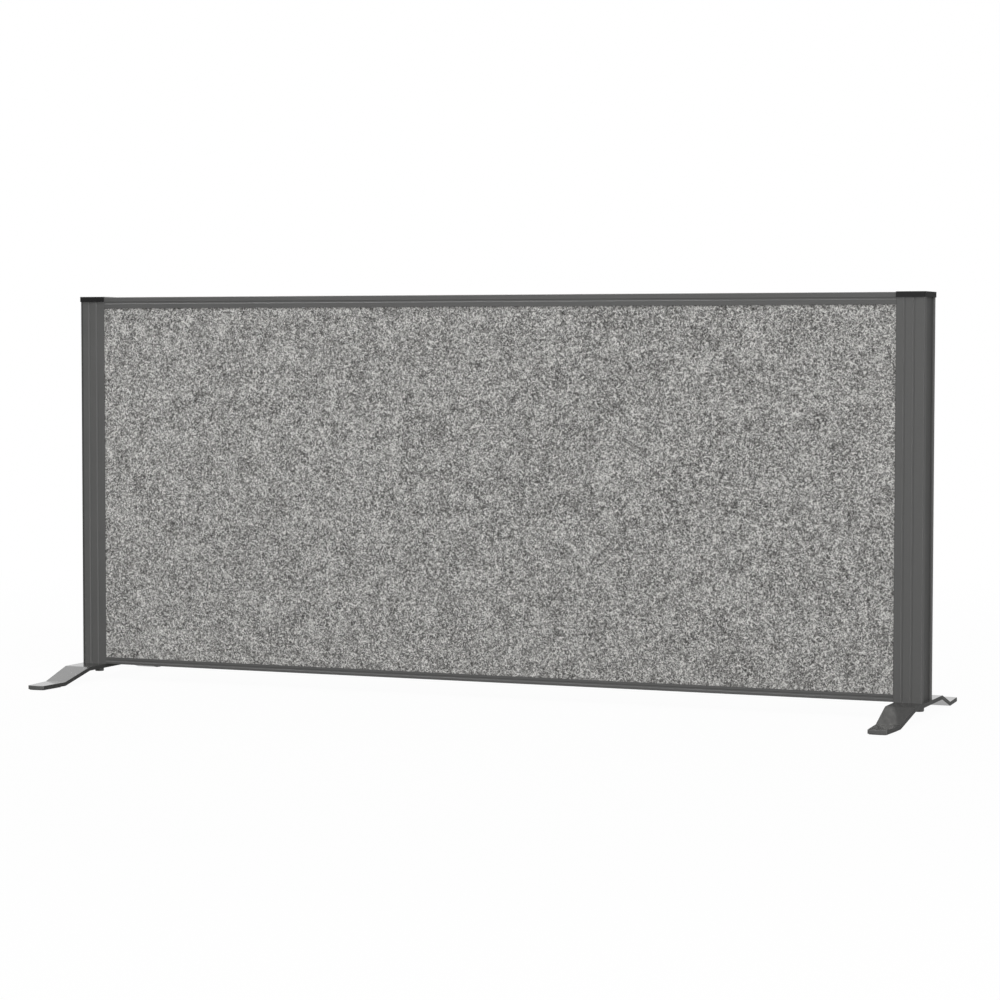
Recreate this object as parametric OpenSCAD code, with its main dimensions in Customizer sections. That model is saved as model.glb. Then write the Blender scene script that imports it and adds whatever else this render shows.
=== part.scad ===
// Free-standing acoustic divider screen for a desk.
// X runs along the screen, Y goes through its depth from front to back, and Z is up.
// The origin is on the desk, under the middle of the screen. All sizes are in millimetres.
// The parts of one end are drawn with x measured inwards from the outer face of the left post,
// and the right end is their mirror image.

/* [Screen] */
// Width between the outer faces of the two posts
overall_width = 1600; // [1000:10:1800]
// Height from the desk to the top of the screen
overall_height = 711; // [450:1:1000]

/* [Posts] */
// Width of a post, seen from the front
post_width = 49; // [48:1:56]
// Depth of a post from its front face to its back face
post_depth = 73; // [68:1:80]
// Wall round the hollow chambers
post_wall = 2.2; // [1.8:0.1:2.6]
// Radius on the two long outer corners
post_corner_radius = 2; // [1:0.5:5]
// Radius on the two long corners beside the panel
post_lip_radius = 1.2; // [0.6:0.1:1.2]
// Web that closes the panel channel towards the chambers
post_web = 2.5; // [2:0.1:3]
// Lips of the channel, in front of the panel and behind it
post_lip = 1.6; // [1.2:0.1:2]
// Depth of the channel that takes the panel's edge
panel_channel_depth = 14; // [13:0.5:15]
// Ribs that part the middle chamber from the side chambers
post_rib = 1.6; // [1.2:0.1:2]
// Width of the middle chamber
middle_chamber_width = 40; // [38:1:42]
// Shoulder at each side of the shallow linking recess down the outer side
link_shoulder_width = 13.5; // [10:0.5:15]
// Depth of that recess at its two shoulders
link_recess_depth = 2.4; // [2:0.1:3]
// How much deeper its hollow floor is in the middle
link_recess_dish = 1.4; // [1:0.1:2]
// Places of the two long grooves, as shares of the post's width
post_groove_shares = [0.375, 0.705]; // [0.3:0.005:0.75]
// Width of such a groove at the face
post_groove_width = 4.2; // [3:0.1:4.6]
// Depth of such a groove
post_groove_depth = 0.8; // [0.5:0.1:0.9]
// Width of each sloping flank of the grooves, in posts and rails alike
groove_flank = 0.8; // [0.4:0.1:1.2]

/* [Post caps] */
// Height of a cap above the end of its post
cap_height = 9.4; // [8:0.2:11]
// How far a cap stands out past the outer, front and back faces
cap_overhang = 1.3; // [0.5:0.1:2]
// Thickness of a cap's top
cap_top = 2.6; // [2:0.1:3.5]
// Thickness of a cap's rim
cap_rim = 2.4; // [2:0.1:3]
// Corner radius of a cap, seen from above
cap_corner_radius = 2.4; // [1:0.1:4]
// Chamfer round a cap's top edge
cap_chamfer = 0.4; // [0.2:0.1:1.5]
// Depth of the plugs that hold a cap in the chambers
cap_plug_depth = 12; // [8:0.5:12.5]
// Wall of a plug
cap_plug_wall = 1.8; // [1.4:0.1:2.2]
// Play between a plug and its chamber, on each side
cap_plug_play = 0.25; // [0.15:0.05:0.4]

/* [Rails] */
// How far the rails' faces lie behind the posts' faces
rail_inset = 0.3; // [0:0.1:0.8]
// How far the top rail stays below the top of the caps
rail_drop = 1; // [0:0.1:2]
// Height of the top rail
top_rail_height = 20.5; // [20:0.1:24]
// Height of the bottom rail
bottom_rail_height = 12.5; // [12:0.1:15]
// Gap between the feet's top and the bottom rail
bottom_rail_gap = 0.5; // [0.2:0.1:4]
// Top wall of the top rail
rail_wall = 2; // [1.6:0.1:2.4]
// Web of the top rail that the panel stands below
top_rail_web = 3; // [2.6:0.1:3.4]
// Depth below the top at which that web begins
top_rail_web_drop = 8.9; // [8:0.1:9.5]
// Base of the bottom rail
bottom_rail_base = 2.5; // [2:0.1:3]
// Gusset in the two inner corners of the bottom rail
bottom_rail_gusset = 2.8; // [2:0.1:2.9]
// Width of the middle chamber of the top rail
rail_chamber_width = 30; // [24:1:36]
// Ribs of the top rail's chambers
rail_rib = 1.6; // [1.2:0.1:2]
// Radius on the rails' outer edges
rail_edge_radius = 1; // [0.5:0.1:1.5]
// Width of the long groove in a rail's face
rail_groove_width = 4.2; // [3:0.1:4.6]
// Depth of that groove
rail_groove_depth = 0.6; // [0.3:0.1:0.7]
// Depth of the top rail's groove below the top of the rail
top_groove_drop = 10.3; // [9:0.1:11]
// Depth of the bottom rail's groove below the top of the rail
bottom_groove_drop = 5.9; // [4:0.1:8.5]

/* [Panel] */
// Play between the felt and the lips in front of it
panel_play = 0.3; // [0.2:0.05:0.5]
// Thickness of each felt board
felt_thickness = 12; // [9:0.5:16]
// Gap between the panel's side edges and the posts' webs
panel_side_gap = 4; // [3.5:0.1:5]
// Gap between the panel's top edge and the top rail's web
panel_top_gap = 4; // [3.5:0.1:4.5]
// Width of the battens round the sound-absorbing core
batten_width = 22; // [18:1:30]
// Play between the core and its battens
core_play = 1; // [0.5:0.1:2]
// Thickness of the foam strip along each side edge
foam_thickness = 3; // [2:0.1:3.2]
// How far that strip stays inside the two faces of the core
foam_margin = 1; // [0.5:0.1:3]
// Thickness of the blocks that the panel stands on
setting_block_thickness = 3; // [2.9:0.1:4]
// Length of such a block along the screen
setting_block_length = 60; // [30:5:90]
// How far such a block stays clear of the gussets in the rail
setting_block_margin = 2.5; // [1:0.5:6]
// Places of the blocks, as shares of the half width
setting_block_shares = [-0.62, 0, 0.62]; // [-0.7:0.01:0.7]

/* [Brackets and screws] */
// Thickness of a corner bracket
bracket_thickness = 2.5; // [2:0.1:2.8]
// Width of a bracket
bracket_width = 28; // [20:1:30]
// Length of the leg on the post
bracket_post_leg = 46; // [44:1:60]
// Length of the leg on the rail
bracket_rail_leg = 52; // [50:1:70]
// Outer radius of a bracket's bend
bracket_bend_radius = 5; // [3.5:0.5:6]
// Distances of the two screws from the corner, on the post leg
post_leg_holes = [12, 35]; // [12:1:40]
// Distances of the two screws from the corner, on the rail leg
rail_leg_holes = [24, 42]; // [22:1:46]
// Shank diameter of a bracket screw
screw_diameter = 4.8; // [4:0.1:5]
// Head diameter of a bracket screw
screw_head_diameter = 8.6; // [7.5:0.1:9]
// Height of its countersunk head
screw_head_height = 1.9; // [1.5:0.1:2]
// Length of the screws into the posts
post_screw_length = 16; // [10:1:20]
// Length of the screws into the top rail
top_screw_length = 7.5; // [6.5:0.5:9]
// Length of the screws into the bottom brackets
bottom_screw_length = 5; // [4.5:0.1:5]
// Drive recess in a bracket screw's head, across its flats
screw_drive = 3; // [2:0.1:3.5]
// Depth of that drive recess
screw_drive_depth = 1.4; // [1:0.1:1.6]
// Length of the wood screws that join the battens
batten_screw_length = 60; // [50:1:80]
// Distance of those screws from the middle of the batten's depth
batten_screw_offset = 11; // [6:1:14]
// Play round a screw in its hole
screw_play = 0.1; // [0.05:0.01:0.15]

/* [Feet] */
// Length of a foot from nose to nose
foot_length = 481; // [400:1:560]
// Thickness of the steel strip
foot_thickness = 7; // [5:0.1:8]
// Width of the strip under the post
foot_width = 52; // [46:1:60]
// Width of the strip at the end of a toe
toe_width = 33; // [24:0.5:40]
// Length of the raised flat middle
foot_middle_length = 184; // [150:1:220]
// Length of each flat toe
toe_length = 70; // [50:1:90]
// Height of the top of the raised middle above the desk
foot_height = 28.1; // [25:0.1:34]
// Inner radius of the bends
foot_bend_radius = 9; // [4:0.5:20]
// Radius of the gently rounded nose
nose_radius = 60; // [30:1:90]
// Radius of the nose's two corners
nose_corner_radius = 3; // [2:0.5:8]
// How far the middle of a foot lies outwards from the middle of its post
foot_offset = 3; // [0:0.5:5]
// Thickness of the rubber pads under the toes
pad_thickness = 1; // [0.8:0.1:3]
// How far a pad stays inside the strip's edge
pad_margin = 2; // [1:0.5:4]
// Length of a pad
pad_length = 58; // [30:1:66]

/* [Foot fastening] */
// Distance of the foot bolt from the post's outer face
bolt_inset = 14; // [13.5:0.5:22]
// Thread diameter of the foot bolt
bolt_diameter = 10; // [8:1:10]
// Length of its shank
bolt_length = 34; // [30:1:36]
// Width of its hexagon head across flats
bolt_head_flats = 16; // [13:1:17]
// Height of its head
bolt_head_height = 6.4; // [5:0.1:6.6]
// Diameter of the flat washer
washer_diameter = 20; // [18:0.5:22]
// Thickness of the flat washer
washer_thickness = 2; // [1.6:0.1:2.2]
// Diameter of the spring washer
spring_washer_diameter = 18; // [16:0.5:18.5]
// Thickness of the spring washer
spring_washer_thickness = 2.2; // [1.8:0.1:2.4]
// Width of the slit in the spring washer
spring_washer_slit = 1.4; // [1:0.1:2]
// Play round the bolt in the foot and the washers
bolt_play = 0.5; // [0.3:0.05:0.6]
// Height of the threaded block in the foot of a post
block_height = 30; // [28:1:36]
// Play between that block and its chamber
block_play = 0.2; // [0.1:0.05:0.3]
// Diameter of the pin that stops a foot from turning
pin_diameter = 5; // [4:0.5:6]
// Length of that pin
pin_length = 18; // [14:1:20]
// Distance of the pin from the bolt, towards the back
pin_offset = 13; // [12:0.5:15]
// How far the pin's lower end stays up inside its hole in the foot
pin_recess = 0.3; // [0.1:0.1:1]

/* [Hidden] */
$fn = 64;
// Everything that cuts right through runs on past both faces by this much
overrun = 1;

// Finishes
profile_grey = "#56555a";
cap_black = "#232325";
felt_grey = "#8b8a88";
core_yellow = "#c9bd94";
batten_wood = "#c8a878";
foam_black = "#2b2b2d";
foot_grey = "#6b6a69";
zinc = "#a9acb0";
rubber_black = "#1d1d1e";

// Posts
link_recess_width = post_depth - 2 * link_shoulder_width;
web_outer_x = post_width - panel_channel_depth - post_web;
web_inner_x = post_width - panel_channel_depth;
chamber_outer_x = link_recess_depth + link_recess_dish + post_wall;
side_chamber_start_y = middle_chamber_width / 2 + post_rib;
side_chamber_end_y = post_depth / 2 - post_wall;
shoulder_y = link_recess_width / 2 + post_wall;
post_length = overall_height - cap_height - foot_height;
post_top = overall_height - cap_height;

// Rails
rail_depth = post_depth - 2 * rail_inset;
rail_length = overall_width - 2 * post_width;
bottom_rail_z = foot_height + bottom_rail_gap;
bottom_base_top = bottom_rail_z + bottom_rail_base;
rail_top = overall_height - rail_drop;
top_web_under = rail_top - top_rail_web_drop - top_rail_web;

// Panel
channel_half = post_depth / 2 - post_lip;
panel_half_depth = channel_half - panel_play;
core_half_depth = panel_half_depth - felt_thickness;
panel_half_width = overall_width / 2 - web_inner_x - panel_side_gap;
foam_width = 2 * (core_half_depth - foam_margin);
setting_block_width = 2 * (channel_half - bottom_rail_gusset - setting_block_margin);
panel_bottom = bottom_base_top + setting_block_thickness;
panel_top = top_web_under - panel_top_gap;
panel_height = panel_top - panel_bottom;

// Feet
toe_top = pad_thickness + foot_thickness;
foot_half = foot_length / 2;
middle_half = foot_middle_length / 2;
toe_start = foot_half - toe_length;
foot_x = post_width / 2 - foot_offset;
slope_angle = atan2(foot_height - toe_top, toe_start - middle_half);
foot_underside = foot_height - foot_thickness;
bolt_x = bolt_inset;
bolt_head_top = foot_underside - washer_thickness - spring_washer_thickness;

// Puts x = 0 on the outer face of the left post
module left_end() {
    translate([-overall_width / 2, 0, 0]) children();
}

// The same at the right post, as a mirror image
module right_end() {
    mirror([1, 0, 0]) left_end() children();
}

// A rectangle from x = 0 to w with all four corners rounded, centred on y = 0
module rounded_plate(w, d, r) {
    translate([0, r - d / 2]) square([w, d - 2 * r]);
    translate([r, -d / 2]) square([w - 2 * r, d]);
    for (x = [r, w - r], y = [r - d / 2, d / 2 - r]) translate([x, y]) circle(r);
}

// The cut of a flat-bottomed groove with sloping flanks, in a face that looks towards +y
module groove_cut(w, depth) {
    floor_half = w / 2 - groove_flank;
    polygon([
        [-w / 2, overrun], [-w / 2, 0], [-floor_half, -depth],
        [floor_half, -depth], [w / 2, 0], [w / 2, overrun]
    ]);
}

// The shallow recess with a dished floor, down the outer side of a post
module link_recess() {
    half = link_recess_width / 2;
    dish_radius = (half * half + link_recess_dish * link_recess_dish) / (2 * link_recess_dish);
    floor_x = link_recess_depth + link_recess_dish;
    translate([-overrun, -half]) square([link_recess_depth + overrun, link_recess_width]);
    intersection() {
        translate([floor_x - dish_radius, 0]) circle(dish_radius, $fn = 200);
        translate([0, -half]) square([floor_x, link_recess_width]);
    }
}

// The side chamber that lies towards the back
module side_chamber() {
    translate([chamber_outer_x, side_chamber_start_y])
        square([web_outer_x - chamber_outer_x, side_chamber_end_y - side_chamber_start_y]);
    translate([post_wall, shoulder_y])
        square([web_outer_x - post_wall, side_chamber_end_y - shoulder_y]);
}

// The section of the post extrusion
module post_section() {
    difference() {
        union() {
            rounded_plate(post_width, post_depth, post_corner_radius);
            translate([post_width / 2, 0])
                rounded_plate(post_width / 2, post_depth, post_lip_radius);
        }
        link_recess();
        for (share = post_groove_shares, side = [0, 1])
            mirror([0, side]) translate([post_width * share, post_depth / 2])
                groove_cut(post_groove_width, post_groove_depth);
        translate([chamber_outer_x, -middle_chamber_width / 2])
            square([web_outer_x - chamber_outer_x, middle_chamber_width]);
        for (side = [0, 1]) mirror([0, side]) side_chamber();
        translate([web_inner_x, -channel_half])
            square([panel_channel_depth + overrun, 2 * channel_half]);
    }
}

// Heights of the screws that hold the two brackets of one post
post_screw_heights = concat(
    [for (d = post_leg_holes) bottom_base_top + d],
    [for (d = post_leg_holes) top_web_under - d]
);

module post() {
    color(profile_grey) difference() {
        translate([0, 0, foot_height]) linear_extrude(post_length) post_section();
        for (z = post_screw_heights)
            translate([web_outer_x - overrun, 0, z]) rotate([0, 90, 0])
                cylinder(h = post_web + 2 * overrun, d = screw_diameter + 2 * screw_play);
    }
}

// A hollow plug between two x and two y values, from the cap's top down into a chamber
module cap_plug(x0, x1, y0, y1) {
    p = cap_plug_play;
    w = cap_plug_wall;
    translate([0, 0, -cap_plug_depth]) linear_extrude(cap_plug_depth + cap_height - cap_top)
        difference() {
            translate([x0 + p, y0 + p]) square([x1 - x0 - 2 * p, y1 - y0 - 2 * p]);
            translate([x0 + p + w, y0 + p + w])
                square([x1 - x0 - 2 * (p + w), y1 - y0 - 2 * (p + w)]);
        }
}

// The outside of a cap: rounded outer corners in plan, and a chamfer on three top edges
module cap_body() {
    reach = post_depth / 2 + cap_overhang;
    length = post_width + cap_overhang;
    c = cap_chamfer;
    intersection() {
        linear_extrude(cap_height) union() {
            translate([-cap_overhang, 0]) rounded_plate(length, 2 * reach, cap_corner_radius);
            translate([0, -reach]) square([post_width, 2 * reach]);
        }
        rotate([90, 0, 0]) linear_extrude(2 * (reach + overrun), center = true)
            polygon([
                [-cap_overhang, 0], [-cap_overhang, cap_height - c],
                [c - cap_overhang, cap_height], [post_width, cap_height], [post_width, 0]
            ]);
        rotate([90, 0, 90]) linear_extrude(2 * length, center = true)
            polygon([
                [-reach, 0], [-reach, cap_height - c], [c - reach, cap_height],
                [reach - c, cap_height], [reach, cap_height - c], [reach, 0]
            ]);
    }
}

module cap() {
    pocket_depth = post_depth - 2 * cap_rim;
    color(cap_black) translate([0, 0, post_top]) {
        difference() {
            cap_body();
            translate([cap_rim, -pocket_depth / 2, -overrun])
                cube([post_width - 2 * cap_rim, pocket_depth, cap_height - cap_top + overrun]);
        }
        cap_plug(chamber_outer_x, web_outer_x, -middle_chamber_width / 2, middle_chamber_width / 2);
        for (side = [0, 1]) mirror([0, side, 0])
            cap_plug(chamber_outer_x, web_outer_x, side_chamber_start_y, side_chamber_end_y);
    }
}

// The section of the top rail, with y = 0 at its top. Its x becomes the screen's Y.
module top_rail_section() {
    half = rail_depth / 2;
    r = rail_edge_radius;
    hollow = top_rail_web_drop - rail_wall;
    side_start = rail_chamber_width / 2 + rail_rib;
    difference() {
        union() {
            translate([-half, -top_rail_height]) square([rail_depth, top_rail_height - r]);
            translate([r - half, -top_rail_height]) square([rail_depth - 2 * r, top_rail_height]);
            for (side = [-1, 1]) translate([side * (half - r), -r]) circle(r);
        }
        translate([-rail_chamber_width / 2, -top_rail_web_drop]) square([rail_chamber_width, hollow]);
        for (side = [0, 1]) mirror([side, 0]) {
            translate([side_start, -top_rail_web_drop])
                square([half - rail_wall - side_start, hollow]);
            translate([half, -top_groove_drop]) rotate(-90)
                groove_cut(rail_groove_width, rail_groove_depth);
        }
        translate([-channel_half, -top_rail_height - overrun])
            square([2 * channel_half, top_rail_height - top_rail_web_drop - top_rail_web + overrun]);
    }
}

// The section of the bottom rail, with y = 0 at its underside. Its x becomes the screen's Y.
module bottom_rail_section() {
    half = rail_depth / 2;
    r = rail_edge_radius;
    g = bottom_rail_gusset;
    difference() {
        union() {
            translate([-half, r]) square([rail_depth, bottom_rail_height - r]);
            translate([r - half, 0]) square([rail_depth - 2 * r, bottom_rail_height]);
            for (side = [-1, 1]) translate([side * (half - r), r]) circle(r);
        }
        polygon([
            [-channel_half, bottom_rail_height + overrun], [-channel_half, bottom_rail_base + g],
            [g - channel_half, bottom_rail_base], [channel_half - g, bottom_rail_base],
            [channel_half, bottom_rail_base + g], [channel_half, bottom_rail_height + overrun]
        ]);
        for (side = [0, 1]) mirror([side, 0])
            translate([half, bottom_rail_height - bottom_groove_drop]) rotate(-90)
                groove_cut(rail_groove_width, rail_groove_depth);
    }
}

// Runs a section the whole length of a rail, at height z
module along_rail(z) {
    translate([0, 0, z]) rotate([90, 0, 90]) linear_extrude(rail_length, center = true) children();
}

// Places for the screws in a rail, at both ends of the screen
module at_rail_screws() {
    for (end = [0, 1], d = rail_leg_holes)
        mirror([end, 0, 0]) left_end() translate([web_inner_x + d, 0, 0]) children();
}

module top_rail() {
    color(profile_grey) difference() {
        along_rail(rail_top) top_rail_section();
        at_rail_screws() translate([0, 0, top_web_under - overrun])
            cylinder(h = top_rail_web + 2 * overrun, d = screw_diameter + 2 * screw_play);
    }
}

module bottom_rail() {
    color(profile_grey) difference() {
        along_rail(bottom_rail_z) bottom_rail_section();
        at_rail_screws() translate([0, 0, bottom_rail_z]) screw_bore(bottom_rail_base + overrun);
    }
}

// A countersunk screw with its head's face at z = 0, driven towards +z
module screw(length) {
    difference() {
        union() {
            cylinder(h = screw_head_height, d1 = screw_head_diameter, d2 = screw_diameter);
            cylinder(h = length, d = screw_diameter);
        }
        translate([0, 0, -overrun]) cylinder(h = screw_drive_depth + overrun, d = screw_drive, $fn = 6);
    }
}

// The countersunk hole for such a screw
module screw_bore(length) {
    p = 2 * screw_play;
    cylinder(h = screw_head_height, d1 = screw_head_diameter + p, d2 = screw_diameter + p);
    translate([0, 0, -overrun]) cylinder(h = overrun, d = screw_head_diameter + p);
    cylinder(h = length, d = screw_diameter + p);
}

// The section of a corner bracket, with its outer corner at the origin
module bracket_section() {
    r = bracket_bend_radius;
    t = bracket_thickness;
    translate([0, r]) square([t, bracket_post_leg - r]);
    translate([r, 0]) square([bracket_rail_leg - r, t]);
    intersection() {
        square([r, r]);
        translate([r, r]) difference() {
            circle(r);
            circle(r - t);
        }
    }
}

// A bracket that stands on z = 0, with its post leg rising from x = 0
module bracket_blank() {
    t = bracket_thickness;
    difference() {
        rotate([90, 0, 0]) linear_extrude(bracket_width, center = true) bracket_section();
        for (d = post_leg_holes) translate([t, 0, d]) rotate([0, -90, 0]) screw_bore(t + overrun);
        children();
    }
}

module bottom_bracket() {
    color(zinc) translate([web_inner_x, 0, bottom_base_top]) bracket_blank()
        for (d = rail_leg_holes) translate([d, 0, -overrun])
            cylinder(h = bracket_thickness + 2 * overrun, d = screw_diameter + 2 * screw_play);
}

module top_bracket() {
    color(zinc) translate([web_inner_x, 0, top_web_under]) mirror([0, 0, 1]) bracket_blank()
        for (d = rail_leg_holes) translate([d, 0, bracket_thickness])
            mirror([0, 0, 1]) screw_bore(bracket_thickness + overrun);
}

module post_leg_screws() {
    color(zinc) for (z = post_screw_heights)
        translate([web_inner_x + bracket_thickness, 0, z]) rotate([0, -90, 0]) screw(post_screw_length);
}

module top_rail_screws() {
    color(zinc) at_rail_screws()
        translate([0, 0, top_web_under - bracket_thickness]) screw(top_screw_length);
}

module bottom_rail_screws() {
    color(zinc) at_rail_screws() translate([0, 0, bottom_rail_z]) screw(bottom_screw_length);
}

// A felt board on the face that looks towards +y, or towards -y with side = -1
module felt_board(side) {
    color(felt_grey)
        translate([0, side * (core_half_depth + felt_thickness / 2), panel_bottom + panel_height / 2])
            cube([2 * panel_half_width, felt_thickness, panel_height], center = true);
}

module acoustic_core() {
    margin = batten_width + core_play;
    color(core_yellow) translate([0, 0, panel_bottom + panel_height / 2])
        cube([2 * (panel_half_width - margin), 2 * core_half_depth, panel_height - 2 * margin], center = true);
}

// Places for the wood screws at the two ends of a batten, seen from above
module at_batten_screws() {
    for (end = [-1, 1], side = [-1, 1])
        translate([end * (panel_half_width - batten_width / 2), side * batten_screw_offset, 0]) children();
}

// The bottom batten; the top batten is its mirror image
module lying_batten() {
    difference() {
        translate([-panel_half_width, -core_half_depth, 0])
            cube([2 * panel_half_width, 2 * core_half_depth, batten_width]);
        at_batten_screws() screw_bore(batten_width + overrun);
    }
}

module bottom_batten() {
    color(batten_wood) translate([0, 0, panel_bottom]) lying_batten();
}

module top_batten() {
    color(batten_wood) translate([0, 0, panel_top]) mirror([0, 0, 1]) lying_batten();
}

module standing_batten() {
    height = panel_height - 2 * batten_width;
    screw_reach = batten_screw_length - batten_width + screw_play;
    color(batten_wood) difference() {
        translate([-panel_half_width, -core_half_depth, panel_bottom + batten_width])
            cube([batten_width, 2 * core_half_depth, height]);
        for (side = [-1, 1], z = [panel_bottom + batten_width, panel_top - batten_width - screw_reach])
            translate([batten_width / 2 - panel_half_width, side * batten_screw_offset, z])
                cylinder(h = screw_reach, d = screw_diameter + 2 * screw_play);
    }
}

module batten_screws() {
    color(zinc) {
        translate([0, 0, panel_bottom]) at_batten_screws() screw(batten_screw_length);
        translate([0, 0, panel_top]) mirror([0, 0, 1]) at_batten_screws() screw(batten_screw_length);
    }
}

// The strip lies between the two brackets, against the post's web
module edge_foam() {
    bottom = bottom_base_top + bracket_post_leg + foam_thickness;
    top = top_web_under - bracket_post_leg - foam_thickness;
    color(foam_black) translate([web_inner_x, -foam_width / 2, bottom])
        cube([foam_thickness, foam_width, top - bottom]);
}

module panel_setting_blocks() {
    color(rubber_black) for (share = setting_block_shares)
        translate([share * overall_width / 2 - setting_block_length / 2, -setting_block_width / 2, bottom_base_top])
            cube([setting_block_length, setting_block_width, setting_block_thickness]);
}

// The threaded block in the middle chamber, at the bottom of a post
module foot_block() {
    wide = middle_chamber_width - 2 * block_play;
    color(zinc) difference() {
        translate([chamber_outer_x + block_play, -wide / 2, foot_height])
            cube([web_outer_x - chamber_outer_x - 2 * block_play, wide, block_height]);
        translate([bolt_x, 0, foot_height - overrun])
            cylinder(h = block_height + 2 * overrun, d = bolt_diameter + 2 * screw_play);
        translate([bolt_x, pin_offset, foot_height - overrun])
            cylinder(h = pin_length + overrun, d = pin_diameter + 2 * screw_play);
        translate([bolt_x, 0, bottom_base_top + post_leg_holes[0]]) rotate([0, 90, 0])
            cylinder(h = web_outer_x, d = screw_diameter + 2 * screw_play);
    }
}

// Side outline of one half of a foot: points of the strip's top or underside, from the
// middle out to the nose. The bends turn about the same centres on both surfaces.
function foot_surface(depth) = let (
    crest_turn = (foot_bend_radius + foot_thickness) * tan(slope_angle / 2),
    crest_y = middle_half - crest_turn,
    crest_z = foot_height - foot_thickness - foot_bend_radius,
    toe_y = toe_start + foot_bend_radius * tan(slope_angle / 2),
    toe_z = toe_top + foot_bend_radius,
    crest_r = foot_bend_radius + foot_thickness - depth,
    toe_r = foot_bend_radius + depth,
    steps = [0 : 0.2 : 1]
) concat(
    [for (s = steps) [crest_y + crest_r * sin(slope_angle * s), crest_z + crest_r * cos(slope_angle * s)]],
    [for (s = steps) let (a = slope_angle * (1 - s)) [toe_y - toe_r * sin(a), toe_z - toe_r * cos(a)]],
    [[foot_half + overrun, toe_top - depth]]
);

function reversed(points) = [for (i = [len(points) - 1 : -1 : 0]) points[i]];
function flipped(points) = [for (p = points) [-p[0], p[1]]];

// The plan of a foot: straight sides in the middle, a taper to the toes, and rounded noses
module foot_plan(margin) {
    half = foot_width / 2 - margin;
    toe_half = toe_width / 2 - margin;
    reach = foot_half - margin;
    r = nose_corner_radius;
    nose_y = reach - nose_radius;
    corner_y = nose_y + sqrt(pow(nose_radius - r, 2) - pow(toe_half - r, 2));
    intersection() {
        union() {
            polygon([
                [-half, -middle_half], [-toe_half, -corner_y], [toe_half, -corner_y], [half, -middle_half],
                [half, middle_half], [toe_half, corner_y], [-toe_half, corner_y], [-half, middle_half]
            ]);
            for (x = [r - toe_half, toe_half - r], y = [-corner_y, corner_y]) translate([x, y]) circle(r);
            square([2 * (toe_half - r), foot_length], center = true);
        }
        union() {
            square([foot_width, reach + nose_y], center = true);
            for (y = [-nose_y, nose_y]) translate([0, y]) circle(nose_radius);
        }
    }
}

module foot() {
    top = foot_surface(0);
    under = foot_surface(foot_thickness);
    color(foot_grey) translate([foot_x, 0, 0]) difference() {
        intersection() {
            rotate([90, 0, 90]) linear_extrude(foot_width + 2 * overrun, center = true)
                polygon(concat(reversed(flipped(top)), top, reversed(under), flipped(under)));
            linear_extrude(foot_height + overrun) foot_plan(0);
        }
        translate([bolt_x - foot_x, 0, foot_underside - overrun])
            cylinder(h = foot_thickness + 2 * overrun, d = bolt_diameter + 2 * bolt_play);
        translate([bolt_x - foot_x, pin_offset, foot_underside - overrun])
            cylinder(h = foot_thickness + 2 * overrun, d = pin_diameter + 2 * screw_play);
    }
}

// A rubber pad under the toe that lies towards +y, or towards -y with side = -1
module foot_pad(side) {
    color(rubber_black) translate([foot_x, 0, 0]) linear_extrude(pad_thickness) intersection() {
        foot_plan(pad_margin);
        translate([-foot_width / 2, side > 0 ? foot_half - pad_length : -foot_half])
            square([foot_width, pad_length]);
    }
}

// A hexagon bolt driven upwards, with the corners of its head turned off below
module foot_bolt() {
    corner = bolt_head_flats / cos(30);
    turned = (corner - bolt_head_flats) / 2;
    color(zinc) translate([bolt_x, 0, bolt_head_top]) {
        cylinder(h = bolt_length, d = bolt_diameter);
        translate([0, 0, -bolt_head_height]) intersection() {
            cylinder(h = bolt_head_height, d = corner, $fn = 6);
            union() {
                cylinder(h = turned, d1 = bolt_head_flats, d2 = corner);
                translate([0, 0, turned]) cylinder(h = bolt_head_height - turned, d = corner);
            }
        }
    }
}

module foot_washer() {
    color(zinc) translate([bolt_x, 0, foot_underside - washer_thickness]) linear_extrude(washer_thickness)
        difference() {
            circle(d = washer_diameter);
            circle(d = bolt_diameter + 2 * bolt_play);
        }
}

// The slit of the spring washer looks towards the back
module spring_washer() {
    color(zinc) translate([bolt_x, 0, bolt_head_top]) linear_extrude(spring_washer_thickness) difference() {
        circle(d = spring_washer_diameter);
        circle(d = bolt_diameter + 2 * bolt_play);
        translate([-spring_washer_slit / 2, 0]) square([spring_washer_slit, spring_washer_diameter]);
    }
}

module foot_pin() {
    color(zinc) translate([bolt_x, pin_offset, foot_underside + pin_recess])
        cylinder(h = pin_length, d = pin_diameter);
}

left_end() post();  // left_post
right_end() post();  // right_post
left_end() cap();  // left_post_cap
right_end() cap();  // right_post_cap
top_rail();
bottom_rail();
felt_board(-1);  // front_felt_board
felt_board(1);  // back_felt_board
acoustic_core();
top_batten();
bottom_batten();
standing_batten();  // left_batten
mirror([1, 0, 0]) standing_batten();  // right_batten
batten_screws();
left_end() edge_foam();  // left_edge_foam
right_end() edge_foam();  // right_edge_foam
panel_setting_blocks();
left_end() top_bracket();  // top_left_bracket
right_end() top_bracket();  // top_right_bracket
left_end() bottom_bracket();  // bottom_left_bracket
right_end() bottom_bracket();  // bottom_right_bracket
left_end() post_leg_screws();  // post_leg_screws_left
right_end() post_leg_screws();  // post_leg_screws_right
top_rail_screws();
bottom_rail_screws();
left_end() foot_block();  // left_foot_block
right_end() foot_block();  // right_foot_block
left_end() foot();  // left_foot
right_end() foot();  // right_foot
left_end() foot_bolt();  // left_foot_bolt
right_end() foot_bolt();  // right_foot_bolt
left_end() foot_washer();  // left_foot_washer
right_end() foot_washer();  // right_foot_washer
left_end() spring_washer();  // left_spring_washer
right_end() spring_washer();  // right_spring_washer
left_end() foot_pin();  // left_foot_pin
right_end() foot_pin();  // right_foot_pin
left_end() foot_pad(-1);  // left_front_pad
left_end() foot_pad(1);  // left_back_pad
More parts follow.
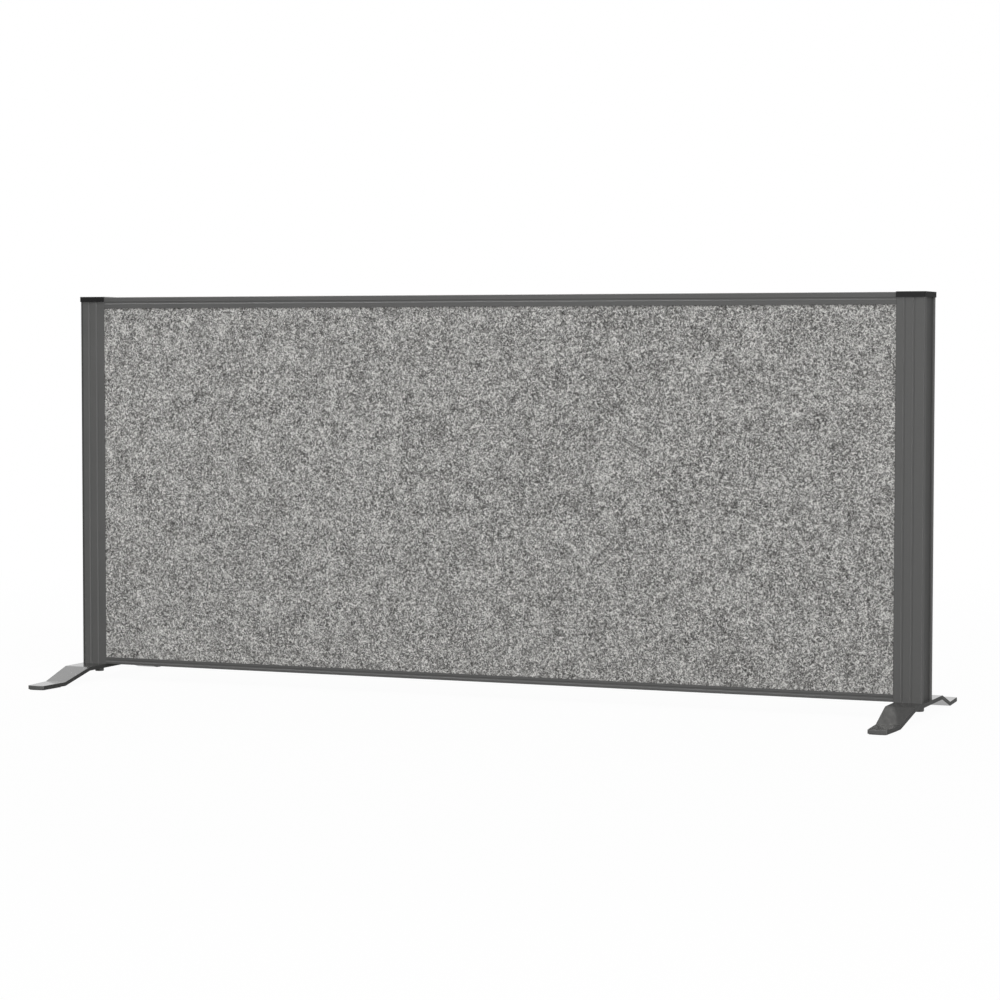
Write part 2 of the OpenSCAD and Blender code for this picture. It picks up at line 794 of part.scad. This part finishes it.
right_end() foot_pad(-1);  // right_front_pad
right_end() foot_pad(1);  // right_back_pad
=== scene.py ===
"""Looks of an acoustic divider screen: two grey felt boards held by a dark powder-coated
aluminium frame that stands on two bent steel feet with a gloss coat."""

import math

import bpy
import numpy as np
from mathutils import Matrix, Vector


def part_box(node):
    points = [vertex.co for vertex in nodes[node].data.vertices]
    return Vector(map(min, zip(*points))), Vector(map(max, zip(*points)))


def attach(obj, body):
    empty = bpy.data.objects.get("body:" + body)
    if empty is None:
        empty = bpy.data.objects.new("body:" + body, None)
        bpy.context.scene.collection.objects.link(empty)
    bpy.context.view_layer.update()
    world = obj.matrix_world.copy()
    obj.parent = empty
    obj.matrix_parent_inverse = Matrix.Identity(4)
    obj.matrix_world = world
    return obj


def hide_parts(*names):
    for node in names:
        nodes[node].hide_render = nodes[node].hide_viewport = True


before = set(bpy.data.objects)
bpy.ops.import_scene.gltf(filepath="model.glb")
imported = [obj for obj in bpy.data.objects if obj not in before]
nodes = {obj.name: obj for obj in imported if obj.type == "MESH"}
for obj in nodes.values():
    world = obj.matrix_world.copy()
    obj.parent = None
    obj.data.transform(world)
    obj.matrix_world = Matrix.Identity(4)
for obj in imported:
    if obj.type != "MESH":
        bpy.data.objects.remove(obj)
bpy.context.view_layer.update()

MM = 0.001
WHITE = (1.0, 1.0, 1.0, 1.0)


# The camera, at the angle of the photograph

def placed(name, data, axes, place):
    """A new object in the scene at place, with its x, y and z axes along the three given."""
    turn = np.eye(4)
    turn[:3, :3] = np.transpose(axes)
    turn[:3, 3] = place
    thing = bpy.data.objects.new(name, data)
    thing.matrix_world = Matrix(turn.tolist())
    bpy.context.scene.collection.objects.link(thing)
    return thing


def photo_camera(place, yaw, pitch, roll, lens):
    """A camera at place, turned by yaw about the upright, tipped down by pitch and rolled."""
    yaw, pitch, roll = (math.radians(a) for a in (yaw, pitch, roll))
    ahead = np.array([
        -math.sin(yaw) * math.cos(pitch), math.cos(yaw) * math.cos(pitch), -math.sin(pitch),
    ])
    level = np.array([math.cos(yaw), math.sin(yaw), 0.0])
    down = np.cross(ahead, level)
    right = math.cos(roll) * level + math.sin(roll) * down
    up = math.sin(roll) * level - math.cos(roll) * down
    data = bpy.data.cameras.new("photo_camera")
    data.lens = lens
    data.sensor_fit = "HORIZONTAL"
    data.sensor_width = 36.0
    data.clip_start, data.clip_end = 0.1, 200.0
    return placed("photo_camera", data, (right, up, -ahead), place)


bpy.context.scene.camera = photo_camera(
    place=(1.961188, -4.687099, 0.614159), yaw=22.411, pitch=2.997, roll=-0.057, lens=103.4475,
)
bpy.context.scene.view_settings.view_transform = "Standard"


# Helpers for the finishes

# Nearly all of a noise pattern's values lie between these two.
NOISE_SPAN = (0.3, 0.7)


def tint(hex_code):
    """An sRGB hex colour as the linear colour that a shader takes."""
    c = np.array([int(hex_code[i:i + 2], 16) for i in (1, 3, 5)]) / 255.0
    c = np.where(c <= 0.04045, c / 12.92, ((c + 0.055) / 1.055) ** 2.4)
    return (*c.tolist(), 1.0)


def add(finish, kind, sockets=None, **settings):
    """Adds one node to a finish. settings are its own choices; sockets are its inputs by name
    or number, each a plain value or the output of another node."""
    node = finish.node_tree.nodes.new(kind)
    for name, value in settings.items():
        setattr(node, name, value)
    for name, value in (sockets or {}).items():
        if isinstance(value, bpy.types.NodeSocket):
            finish.node_tree.links.new(value, node.inputs[name])
        else:
            node.inputs[name].default_value = value
    return node


def new_finish(name):
    """An empty material and the object's own coordinates in millimetres."""
    finish = bpy.data.materials.new(name)
    finish.use_nodes = True
    finish.node_tree.nodes.clear()
    place = add(finish, "ShaderNodeTexCoord").outputs["Object"]
    mm = add(finish, "ShaderNodeMapping", {"Vector": place, "Scale": (1000, 1000, 1000)})
    return finish, mm.outputs["Vector"]


def noise(finish, place, scale, detail, roughness=0.5, distortion=0.0):
    """The value of a noise pattern with about scale patches to each unit of place."""
    return add(finish, "ShaderNodeTexNoise", {
        "Vector": place, "Scale": scale, "Detail": detail, "Roughness": roughness,
        "Distortion": distortion,
    }).outputs["Fac"]


def calc(finish, operation, *values, **settings):
    """One operation on one to three numbers."""
    sockets = dict(enumerate(values))
    return add(finish, "ShaderNodeMath", sockets, operation=operation, **settings).outputs[0]


def ramp(finish, value, start, end, low=0.0, high=1.0):
    """low where value is at start or before it, high at end or past it, even in between."""
    return add(finish, "ShaderNodeMapRange", {
        "Value": value, "From Min": start, "From Max": end, "To Min": low, "To Max": high,
    }).outputs[0]


def mix(finish, share, first, second):
    """The first colour, with its share of the second; each is a hex code or an output."""
    first, second = (tint(c) if isinstance(c, str) else c for c in (first, second))
    sockets = {0: share, 6: first, 7: second}
    return add(finish, "ShaderNodeMix", sockets, data_type="RGBA").outputs[2]


def bump(finish, height, strength, depth):
    """A relief that is depth millimetres deep."""
    sockets = {"Height": height, "Strength": strength, "Distance": depth * MM}
    return add(finish, "ShaderNodeBump", sockets).outputs[0]


def close_finish(finish, shader):
    """Ends a finish: its shader goes to the material output."""
    add(finish, "ShaderNodeOutputMaterial", {"Surface": shader.outputs[0]})
    return finish


def principled(finish, sockets):
    """Ends a finish with one principled shader."""
    return close_finish(finish, add(finish, "ShaderNodeBsdfPrincipled", sockets))


# The finishes, one function each

def powder_coated_aluminium():
    """Extruded aluminium with a fine-textured polyester powder coat, baked on: a matt dark
    grey with a soft sheen, and a very fine pebbled skin in place of a metal's glint. On the
    floor of each linking recess the colour is darker as painted shade, and the recess's back lip,
    over which a neighbouring screen slides, is painted paler as light. On the left post's front
    the outer arris has painted shade and the grooves' outer flanks painted highlights, lines too
    fine for soft lamps."""
    # Where each begins and is complete, in the object's millimetres.
    lip_outward, lip_inner_side, lip_back = (797.6, 798.0), (22.6, 23.0), (36.2, 35.6)
    recess_outward, recess_half = (785.0, 790.0), (22.9, 22.5)
    front_side, outer_arris, flank_half = (-30.0, -31.0), (-794.8, -795.6), (1.5, 0.9)

    finish, mm = new_finish("powder_coated_aluminium")
    pebble = noise(finish, mm, 0.9, 3.0, 0.6)
    cloud = noise(finish, mm, 0.012, 2.0)
    share = ramp(finish, calc(finish, "ADD", pebble, cloud), 0.6, 1.4)
    colour = mix(finish, share, "#4f4f4e", "#595958")
    x, y, _ = add(finish, "ShaderNodeSeparateXYZ", {0: mm}).outputs
    outward = calc(finish, "ABSOLUTE", x)

    # Painted light: the recess's back lip and the wall before it are painted paler, as if lit.
    lip_light = ramp(finish, y, *lip_inner_side)
    lip_light = calc(finish, "MULTIPLY", lip_light, ramp(finish, y, *lip_back, high=0.45))
    lip_light = calc(finish, "MULTIPLY", ramp(finish, outward, *lip_outward), lip_light)
    colour = mix(finish, lip_light, colour, "#717170")

    # Painted shade: the floor of the recess is painted darker, as shade falls there.
    recess_shade = ramp(finish, calc(finish, "ABSOLUTE", y), *recess_half, high=0.8)
    recess_shade = calc(finish, "MULTIPLY", ramp(finish, outward, *recess_outward), recess_shade)
    colour = mix(finish, recess_shade, colour, "#424241")

    # Painted light and shade on the left post's front: a painted highlight on each groove's outer
    # flank, and painted shade on the outer arris.
    front = ramp(finish, y, *front_side)
    for flank_x in (-783.2, -767.1):
        off = calc(finish, "ABSOLUTE", calc(finish, "SUBTRACT", x, flank_x))
        flank_highlight = calc(finish, "MULTIPLY", front, ramp(finish, off, *flank_half, high=0.8))
        colour = mix(finish, flank_highlight, colour, "#646463")
    arris = calc(finish, "MULTIPLY", front, ramp(finish, x, *outer_arris))
    colour = mix(finish, arris, colour, "#343433")

    return principled(finish, {
        "Base Color": colour, "Roughness": ramp(finish, cloud, *NOISE_SPAN, 0.56, 0.66),
        "IOR": 1.5, "Specular IOR Level": 0.08, "Normal": bump(finish, pebble, 0.35, 0.06),
    })


def moulded_abs():
    """Injection-moulded black ABS with a fine spark-eroded grain: near black, a broad weak
    sheen, and a grain that breaks the sheen up."""
    finish, mm = new_finish("moulded_abs")
    grain = noise(finish, mm, 1.3, 3.0, 0.65)
    return principled(finish, {
        "Base Color": mix(finish, ramp(finish, grain, *NOISE_SPAN), "#101010", "#1a1a1a"),
        "Roughness": ramp(finish, grain, *NOISE_SPAN, 0.5, 0.62),
        "IOR": 1.53, "Specular IOR Level": 0.03, "Normal": bump(finish, grain, 0.4, 0.08),
    })


def pressed_felt():
    """Needled polyester felt, pressed to a board from white, grey and charcoal fibres: a dry,
    matt mid grey full of short light and dark flecks that lie in every direction. The fibres
    are about 0.03 mm thick, too fine to show, so the flecks are drawn 2 mm wide and 7 long."""
    finish, mm = new_finish("pressed_felt")

    # Slow eddies carry the flecks up to 4 mm aside, so that none lies quite straight.
    stir = add(finish, "ShaderNodeTexNoise", {"Vector": mm, "Scale": 0.1, "Detail": 1.0})
    sockets = {0: stir.outputs["Color"], 1: (0.5, 0.5, 0.5)}
    stir = add(finish, "ShaderNodeVectorMath", sockets, operation="SUBTRACT")
    sockets = {0: stir.outputs[0], 1: (8.0, 8.0, 8.0), 2: mm}
    swirl = add(finish, "ShaderNodeVectorMath", sockets, operation="MULTIPLY_ADD")

    # Four lays of long patches, each turned and shifted by its own number: the lightest and
    # the darkest at each spot are its flecks.
    lays = []
    for turn in (14, 59, 104, 149):
        lay = add(finish, "ShaderNodeMapping", {
            "Vector": swirl.outputs[0], "Location": (turn, turn, turn),
            "Rotation": (0.0, math.radians(turn), 0.0), "Scale": (7.5, 2.0, 2.0),
        }, vector_type="TEXTURE")
        lays.append(noise(finish, lay.outputs[0], 1.0, 1.0))
    light = dark = lays[0]
    for lay in lays[1:]:
        light = calc(finish, "MAXIMUM", light, lay)
        dark = calc(finish, "MINIMUM", dark, lay)
    light = ramp(finish, light, 0.57, 0.85, high=1.05)
    dark = ramp(finish, dark, 0.45, 0.15, high=-0.14)

    # Under them lie a fine grain and tufts some 20 mm across.
    grain = noise(finish, mm, 0.36, 1.0)
    tufts = noise(finish, mm, 0.045, 3.0, 0.65)
    tone = calc(finish, "MULTIPLY_ADD", grain, 1.08, -0.39)
    tone = calc(finish, "MULTIPLY_ADD", tufts, 0.6, tone)
    tone = calc(finish, "ADD", tone, light)
    tone = calc(finish, "ADD", tone, dark, use_clamp=True)
    tone = calc(finish, "POWER", tone, 1.8)
    return principled(finish, {
        "Base Color": mix(finish, tone, "#3b3a38", "#e2e1de"),
        "Roughness": 0.95, "IOR": 1.45, "Specular IOR Level": 0.1,
        "Sheen Weight": 0.04, "Sheen Roughness": 0.5, "Normal": bump(finish, tone, 0.5, 0.4),
    })


def gloss_coated_steel():
    """Steel plate with a smooth gloss powder coat in the frame's grey: at a low angle its
    broad faces mirror what stands on them and the pale room behind."""
    finish, mm = new_finish("gloss_coated_steel")
    flow = noise(finish, mm, 0.06, 3.0, 0.55)
    return principled(finish, {
        "Base Color": mix(finish, flow, "#5b5b5a", "#656564"),
        "Roughness": ramp(finish, flow, *NOISE_SPAN, 0.1, 0.14),
        "IOR": 2.1, "Normal": bump(finish, flow, 0.04, 0.2),
    })


def coated_cut_edge():
    """The plate's laser-cut edge under the same coat: the cut's fine upright lines show
    through, so it is dull, and its colour is painted darker than the broad faces as shade,
    except on the two noses, which keep the coat's own grey."""
    finish, mm = new_finish("coated_cut_edge")
    sockets = {"Vector": mm, "Scale": (0.7, 0.7, 9.0)}
    upright = add(finish, "ShaderNodeMapping", sockets, vector_type="TEXTURE")
    line = noise(finish, upright.outputs[0], 1.0, 2.0)
    along = calc(finish, "ABSOLUTE", add(finish, "ShaderNodeSeparateXYZ", {0: mm}).outputs["Y"])
    # Painted shade: the cut sides get a darker colour than the coat, and the noses keep the
    # coat's grey.
    nose = ramp(finish, along, 236.5, 238.0)
    return principled(finish, {
        "Base Color": mix(finish, nose, mix(finish, line, "#383837", "#464645"), "#585857"),
        "Roughness": 0.6, "IOR": 1.5, "Specular IOR Level": 0.08,
        "Normal": bump(finish, line, 0.3, 0.1),
    })


def zinc_plated_steel():
    """Cold-formed steel hardware, zinc-plated, passivated black and sealed: the seal hides
    the metal's glint under a dull, warm dark grey film with small crystalline patches."""
    finish, mm = new_finish("zinc_plated_steel")
    patch = add(finish, "ShaderNodeTexVoronoi", {"Vector": mm, "Scale": 0.55})
    wear = noise(finish, mm, 0.6, 4.0)
    share = calc(finish, "MULTIPLY", patch.outputs["Distance"], wear)
    return principled(finish, {
        "Base Color": mix(finish, share, "#555553", "#6c6c69"),
        "Roughness": ramp(finish, wear, *NOISE_SPAN, 0.5, 0.62),
        "IOR": 1.5, "Specular IOR Level": 0.1,
    })


def galvanised_sheet():
    """Hot-dip galvanised steel sheet, cut and folded into brackets: pale grey metal with a
    spangle of grains some 4 mm across."""
    finish, mm = new_finish("galvanised_sheet")
    sockets = {"Vector": mm, "Scale": 0.25, "Randomness": 1.0}
    spangle = add(finish, "ShaderNodeTexVoronoi", sockets).outputs["Color"]
    share = add(finish, "ShaderNodeSeparateColor", {0: spangle}).outputs[0]
    return principled(finish, {
        "Base Color": mix(finish, share, "#8d9092", "#b3b6b7"), "Metallic": 1.0,
        "Roughness": ramp(finish, share, 0.0, 1.0, 0.28, 0.46),
    })


def black_rubber():
    """Moulded EPDM rubber, dusted so that it doesn't stick: a dull charcoal black with a
    faint grey bloom."""
    finish, mm = new_finish("black_rubber")
    bloom = noise(finish, mm, 0.35, 5.0, 0.65)
    return principled(finish, {
        "Base Color": mix(finish, bloom, "#141414", "#2b2b2a"), "Roughness": 0.82,
        "IOR": 1.52, "Normal": bump(finish, bloom, 0.3, 0.1),
    })


def closed_cell_foam():
    """Expanded polyethylene foam strip: charcoal, matt, with closed cells about 1.5 mm
    across that dimple its skin."""
    finish, mm = new_finish("closed_cell_foam")
    sockets = {"Vector": mm, "Scale": 0.66}
    cell = add(finish, "ShaderNodeTexVoronoi", sockets).outputs["Distance"]
    return principled(finish, {
        "Base Color": mix(finish, cell, "#1d1d1e", "#3a3a3b"), "Roughness": 0.88,
        "IOR": 1.49, "Normal": bump(finish, cell, 0.5, 0.2),
    })


def compressed_fibre():
    """Compressed polyester wool, the absorbing core: off-white, very matt, with a loose nap
    and faint layers 3 mm thick."""
    finish, mm = new_finish("compressed_fibre")
    layers = add(finish, "ShaderNodeMapping", {"Vector": mm, "Scale": (0.08, 0.33, 0.08)})
    layer = noise(finish, layers.outputs[0], 1.0, 5.0, 0.7)
    return principled(finish, {
        "Base Color": mix(finish, layer, "#a9a79f", "#dedcd5"), "Roughness": 0.95,
        "IOR": 1.45, "Normal": bump(finish, layer, 0.6, 0.6),
    })


def planed_pine(name, along):
    """Planed pine batten: pale yellow wood, its growth rings some 3 mm apart seen as long
    streaks that run along the batten."""
    finish, mm = new_finish(name)
    stretch = tuple(0.006 if axis == along else 0.34 for axis in "XYZ")
    streaks = add(finish, "ShaderNodeMapping", {"Vector": mm, "Scale": stretch})
    ring = noise(finish, streaks.outputs[0], 1.0, 4.0, 0.6, distortion=0.6)
    share = ramp(finish, ring, 0.35, 0.65)
    return principled(finish, {
        "Base Color": mix(finish, share, "#c99e66", "#e3c594"), "Roughness": 0.6,
        "IOR": 1.5, "Normal": bump(finish, ring, 0.3, 0.2),
    })


coat, plastic, felt = powder_coated_aluminium(), moulded_abs(), pressed_felt()
plate, cut_edge, zinc = gloss_coated_steel(), coated_cut_edge(), zinc_plated_steel()
sheet, rubber, foam = galvanised_sheet(), black_rubber(), closed_cell_foam()
wool = compressed_fibre()
pine_flat = planed_pine("planed_pine_lengthwise", "X")
pine_upright = planed_pine("planed_pine_upright", "Z")

# Nodes by finish. All others are screws, bolts, washers, pins and threaded blocks.
finish_of = {
    name: finish
    for finish, names in (
        (coat, ("left_post", "right_post", "top_rail", "bottom_rail")),
        (plastic, ("left_post_cap", "right_post_cap")),
        (felt, ("front_felt_board", "back_felt_board")),
        (wool, ("acoustic_core",)),
        (pine_flat, ("top_batten", "bottom_batten")),
        (pine_upright, ("left_batten", "right_batten")),
        (foam, ("left_edge_foam", "right_edge_foam")),
        (sheet, ("top_left_bracket", "top_right_bracket")),
        (sheet, ("bottom_left_bracket", "bottom_right_bracket")),
        (plate, ("left_foot", "right_foot")),
        (rubber, ("panel_setting_blocks", "left_front_pad", "left_back_pad")),
        (rubber, ("right_front_pad", "right_back_pad")),
    )
    for name in names
}
for name, node in nodes.items():
    for slot in node.material_slots:
        slot.material = finish_of.get(name, zinc)


# The new pieces: the felt boards and the feet

def skin(name, points, faces, finish):
    """A mesh object at the origin from an array of points in metres and a list of faces."""
    mesh = bpy.data.meshes.new(name)
    mesh.from_pydata(points.reshape(-1, 3).tolist(), [], faces)
    mesh.materials.append(finish)
    mesh.update()
    mesh.shade_smooth()
    piece = bpy.data.objects.new(name, mesh)
    bpy.context.scene.collection.objects.link(piece)
    return piece


def grid_faces(rows, columns, first=0, turned=False):
    """The four-sided faces of a grid of points, as an array of corner numbers."""
    corner = np.arange(rows * columns).reshape(rows, columns) + first
    around = [corner[:-1, :-1], corner[:-1, 1:], corner[1:, 1:], corner[1:, :-1]]
    faces = np.stack(around, axis=-1).reshape(-1, 4)
    return faces[:, ::-1] if turned else faces


def felt_board(name, side):
    """A pressed board that fills the space of its solid. x and z run over the broad faces, and
    the outer face lies at y = outer - side * (rim + wave): rim is a quarter circle of 1.5 mm
    that eases the arris, and wave a sum of slow sines a tenth of a millimetre high, as pressed
    felt is never dead flat. The inner face is plain, and four strips close the edges."""
    low, high = (np.array(c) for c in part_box(name))
    ease, unevenness, margin = 1.5 * MM, 0.12 * MM, 4 * MM
    close = ease * (1 - np.cos(np.linspace(0, math.pi / 2, 5)))
    x, z = (
        np.concatenate([
            low[axis] + close,
            np.linspace(low[axis] + margin, high[axis] - margin, steps),
            high[axis] - close[::-1],
        ])
        for axis, steps in ((0, 250), (2, 110))
    )
    across, upward = np.meshgrid(x, z)
    inset = np.minimum(
        np.minimum(across - low[0], high[0] - across),
        np.minimum(upward - low[2], high[2] - upward),
    )
    rim = ease - np.sqrt(np.maximum(ease ** 2 - np.clip(ease - inset, 0, ease) ** 2, 0))
    # Each wave's length over two pi, across and up, in millimetres, and its start.
    waves = ((31, 23, 0.4), (17, 29, 1.7), (11, 13, 2.9), (53, 47, 4.1))
    wave = sum(np.sin(across / MM / a + p) * np.sin(upward / MM / b + 2 * p) for a, b, p in waves)
    wave = unevenness * (wave + len(waves)) / (2 * len(waves))
    outer, inner = (low[1], high[1]) if side < 0 else (high[1], low[1])
    face = np.stack([across, outer - side * (rim + wave), upward], axis=-1)
    back = np.stack([across, np.full_like(across, inner), upward], axis=-1)
    rows, columns = across.shape
    count = rows * columns
    index = np.arange(count).reshape(rows, columns)
    loop = np.concatenate([index[0, :-1], index[:-1, -1], index[-1, :0:-1], index[:0:-1, 0]])
    following = np.roll(loop, -1)
    strips = np.stack([following, loop, loop + count, following + count], axis=-1)
    faces = np.concatenate([
        grid_faces(rows, columns), grid_faces(rows, columns, first=count, turned=True), strips,
    ])
    if side > 0:
        faces = faces[:, ::-1]
    return skin(name + "_pressed", np.stack([face, back]), faces.tolist(), felt)


# The foot's solid in millimetres: half its width at the middle, its thickness, where its
# level middle part ends, and half its length.
FOOT_HALF, FOOT_THICK, FOOT_MIDDLE, FOOT_REACH = 26.0, 7.0, 92.0, 240.5


def foot_outline(ease):
    """A quarter of the foot's plan, drawn in by ease, as x and y in millimetres from its
    middle out to the nose: a straight side, a taper to half the toe's width, a corner arc and
    a nose arc. Each stretch has its own spacing, close together at the two bends."""
    toe_half, corner_radius, nose_radius = 16.5, 3.0, 60.0
    nose_y = FOOT_REACH - nose_radius
    corner_x = toe_half - corner_radius
    corner_y = nose_y + math.sqrt((nose_radius - corner_radius) ** 2 - corner_x ** 2)
    side_y = np.concatenate([
        np.linspace(0, 86, 12)[1:], [88, 89], np.linspace(89.6, FOOT_MIDDLE, 7),
    ])
    taper_y = np.concatenate([
        np.linspace(FOOT_MIDDLE, 94.6, 7)[1:], [95.2, 97], np.linspace(100, 165, 12),
        [167, 168], np.linspace(168.8, 172.2, 10), [172.8, 174],
        np.linspace(178, corner_y - 2, 10), [corner_y],
    ])
    lean = math.atan2(FOOT_HALF - toe_half, corner_y - FOOT_MIDDLE)
    taper_x = FOOT_HALF - (taper_y - FOOT_MIDDLE) * math.tan(lean)
    swing = math.atan2(corner_x, corner_y - nose_y)
    corner_turn = np.linspace(0, math.pi / 2 - swing, 9)[1:]
    nose_turn = np.linspace(swing, 0, 9)[1:]
    x = np.concatenate([
        np.full_like(side_y, FOOT_HALF), taper_x,
        corner_x + corner_radius * np.cos(corner_turn), nose_radius * np.sin(nose_turn),
    ])
    y = np.concatenate([
        side_y, taper_y,
        corner_y + corner_radius * np.sin(corner_turn), nose_y + nose_radius * np.cos(nose_turn),
    ])
    outward = np.concatenate([
        np.zeros_like(side_y), np.full_like(taper_y, lean), corner_turn, math.pi / 2 - nose_turn,
    ])
    return x - ease * np.cos(outward), y - ease * np.sin(outward)


def foot_level(y, depth):
    """Height in millimetres of the foot's surface at a depth below its top, along its length:
    level in the middle, an arc over the crest, a straight slope of 14.4 degrees, an arc into
    the toe, and level to the nose. The bends turn about the same centres at every depth."""
    top, toe_top, bend, toe_start = 28.1, 8.0, 9.0, 170.5
    slope = math.atan2(top - toe_top, toe_start - FOOT_MIDDLE)
    crest_y = FOOT_MIDDLE - (bend + FOOT_THICK) * math.tan(slope / 2)
    crest_z = top - FOOT_THICK - bend
    toe_y, toe_z = toe_start + bend * math.tan(slope / 2), toe_top + bend
    crest_r, toe_r = bend + FOOT_THICK - depth, bend + depth
    y = np.abs(y)
    crest_end = crest_y + crest_r * math.sin(slope)
    fall_from = crest_z + crest_r * math.cos(slope)
    return np.select(
        [y <= crest_y, y <= crest_end, y <= toe_y - toe_r * math.sin(slope), y <= toe_y],
        [
            top - depth + 0 * y,
            crest_z + np.sqrt(np.maximum(crest_r ** 2 - (y - crest_y) ** 2, 0)),
            fall_from - (y - crest_end) * math.tan(slope),
            toe_z - np.sqrt(np.maximum(toe_r ** 2 - (toe_y - y) ** 2, 0)),
        ],
        toe_top - depth + 0 * y,
    )


def bent_foot(name):
    """The foot's edge section carried round its plan. Each ring is the plan drawn in by an
    ease and set down by a depth: two flat bands, an eased arris, the cut edge, the lower
    arris and two flat bands. Rungs from side to side close the broad faces."""
    low, high = (np.array(c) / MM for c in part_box(name))
    arris = 0.7
    bands = arris + np.array([1.2, 0.3])
    turn = np.linspace(0, math.pi / 2, 5)
    ease = arris * (1 - np.sin(turn))
    depth = arris * (1 - np.cos(turn))
    ease = np.concatenate([bands, ease, ease[::-1], bands[::-1]])
    depth = np.concatenate([[0, 0], depth, FOOT_THICK - depth[::-1], [FOOT_THICK, FOOT_THICK]])
    rings = []
    for inward, down in zip(ease, depth):
        x, y = foot_outline(inward)
        x = np.concatenate([[FOOT_HALF - inward], x])
        y = np.concatenate([[0.0], y])
        x[-1] = 0.0
        x = np.concatenate([x[:0:-1], x, -x[-2::-1], -x[1:-1]])
        y = np.concatenate([-y[:0:-1], y, y[-2::-1], -y[1:-1]])
        rings.append(np.stack([x + (low[0] + high[0]) / 2, y, foot_level(y, down)], axis=-1))
    rings = np.stack(rings)
    ring_count, around = rings.shape[:2]
    corner = np.arange(ring_count * around).reshape(ring_count, around)
    ahead = np.roll(corner, -1, axis=1)
    walls = np.stack([corner[:-1], corner[1:], ahead[1:], ahead[:-1]], axis=-1).reshape(-1, 4)
    half = around // 2
    start = np.arange(1, half - 1)
    rung = np.stack([start, start + 1, around - start - 1, around - start], axis=-1)
    tips = np.array([[0, 1, around - 1], [half, half + 1, half - 1]])
    under = (ring_count - 1) * around
    faces = walls.tolist() + rung.tolist() + tips.tolist()
    faces += (rung[:, ::-1] + under).tolist() + (tips[:, ::-1] + under).tolist()
    foot = skin(name + "_bent", rings * MM, faces, plate)
    foot.data.materials.append(cut_edge)
    # The walls between the flat bands have the cut edge's finish.
    which = np.zeros(len(faces), dtype=np.int32)
    which[len(bands) * around:(ring_count - 1 - len(bands)) * around] = 1
    foot.data.polygons.foreach_set("material_index", which)
    return foot


for name, side in (("front_felt_board", -1), ("back_felt_board", 1)):
    board = felt_board(name, side)
    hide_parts(name)
    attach(board, "root")

for name in ("left_foot", "right_foot"):
    foot = bent_foot(name)
    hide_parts(name)
    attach(foot, "root")


# The floor, the pale room and the lamps

def seen_directly(finish):
    """1 for what the camera, a mirror or glass sees, 0 for light that only falls on things."""
    path = add(finish, "ShaderNodeLightPath").outputs
    seen = calc(finish, "MAXIMUM", path["Is Camera Ray"], path["Is Glossy Ray"])
    return calc(finish, "MAXIMUM", seen, path["Is Transmission Ray"])


def paper_floor():
    """A white paper floor. The camera sees mostly its own even white, under which the
    object's shadow stays faint, a coat that mirrors it sees more of the shadow, and nothing
    but that white is seen from 3 m out."""
    even_from, even_by = 1500.0, 3000.0
    share_in_mirror, share_in_camera = 0.62, 0.96
    reach = 60.0

    finish, mm = new_finish("white_paper")
    away = add(finish, "ShaderNodeVectorMath", {0: mm}, operation="LENGTH").outputs["Value"]
    in_camera = add(finish, "ShaderNodeLightPath").outputs["Is Camera Ray"]
    near_share = ramp(finish, in_camera, 0.0, 1.0, share_in_mirror, share_in_camera)
    even_share = ramp(finish, away, even_from, even_by, near_share, 1.0)
    matt = add(finish, "ShaderNodeBsdfDiffuse", {"Color": WHITE}).outputs[0]
    even = add(finish, "ShaderNodeEmission", {"Color": WHITE, "Strength": 1.0}).outputs[0]
    shown = add(finish, "ShaderNodeMixShader", {0: even_share, 1: matt, 2: even}).outputs[0]
    lit = add(finish, "ShaderNodeBsdfDiffuse", {"Color": (0.8, 0.8, 0.8, 1.0)}).outputs[0]
    sockets = {0: seen_directly(finish), 1: lit, 2: shown}
    close_finish(finish, add(finish, "ShaderNodeMixShader", sockets))

    points = reach * np.array([[-1, -1, 0], [1, -1, 0], [1, 1, 0], [-1, 1, 0]])
    floor = skin("paper_floor", points, [[0, 1, 2, 3]], finish)


def hang(lamp, place):
    """Hangs a lamp at place, turned so that it shines on the origin."""
    away = np.array(place) / np.linalg.norm(place)
    across = np.cross([0, 0, 1], away)
    across = across / np.linalg.norm(across)
    return placed(lamp.name, lamp, (across, np.cross(away, across), away), place)


def studio():
    """An even pale room, one very broad soft light from the upper front right and a weaker one
    from behind that isn't mirrored, as from wide diffusers far away, and three panels that
    show only as a sheen. The side panel stays lower than the screen's top, which would
    mirror it brightly."""
    world = bpy.data.worlds.new("pale_room")
    world.use_nodes = True
    world.node_tree.nodes.clear()
    fill = add(world, "ShaderNodeBackground", {"Color": WHITE, "Strength": 0.28}).outputs[0]
    shown = add(world, "ShaderNodeBackground", {"Color": WHITE, "Strength": 1.0}).outputs[0]
    both = add(world, "ShaderNodeMixShader", {0: seen_directly(world), 1: fill, 2: shown})
    add(world, "ShaderNodeOutputWorld", {"Surface": both.outputs[0]})
    bpy.context.scene.world = world
    for name, strength, place, mirrored in (
        ("diffuser", 1.6, (0.28, -0.66, 0.64), True),
        ("back_diffuser", 0.8, (-0.3, 0.7, 0.5), False),
    ):
        lamp = bpy.data.lights.new(name, "SUN")
        lamp.energy, lamp.angle = strength, math.radians(70)
        hang(lamp, place).visible_glossy = mirrored
    for name, watts, wide, high, place in (
        ("front_panel", 490.0, 1.2, 1.2, (-0.4, -4.6, 0.6)),
        ("side_panel", 1050.0, 2.2, 0.66, (4.7, -1.9, 0.34)),
        ("overhead_panel", 1500.0, 2.2, 2.2, (-1.1, -0.7, 3.3)),
    ):
        panel = bpy.data.lights.new(name, "AREA")
        panel.shape, panel.energy = "RECTANGLE", watts
        panel.size, panel.size_y = wide, high
        panel.cycles.max_bounces = 0
        hang(panel, place).visible_diffuse = False


paper_floor()
studio()
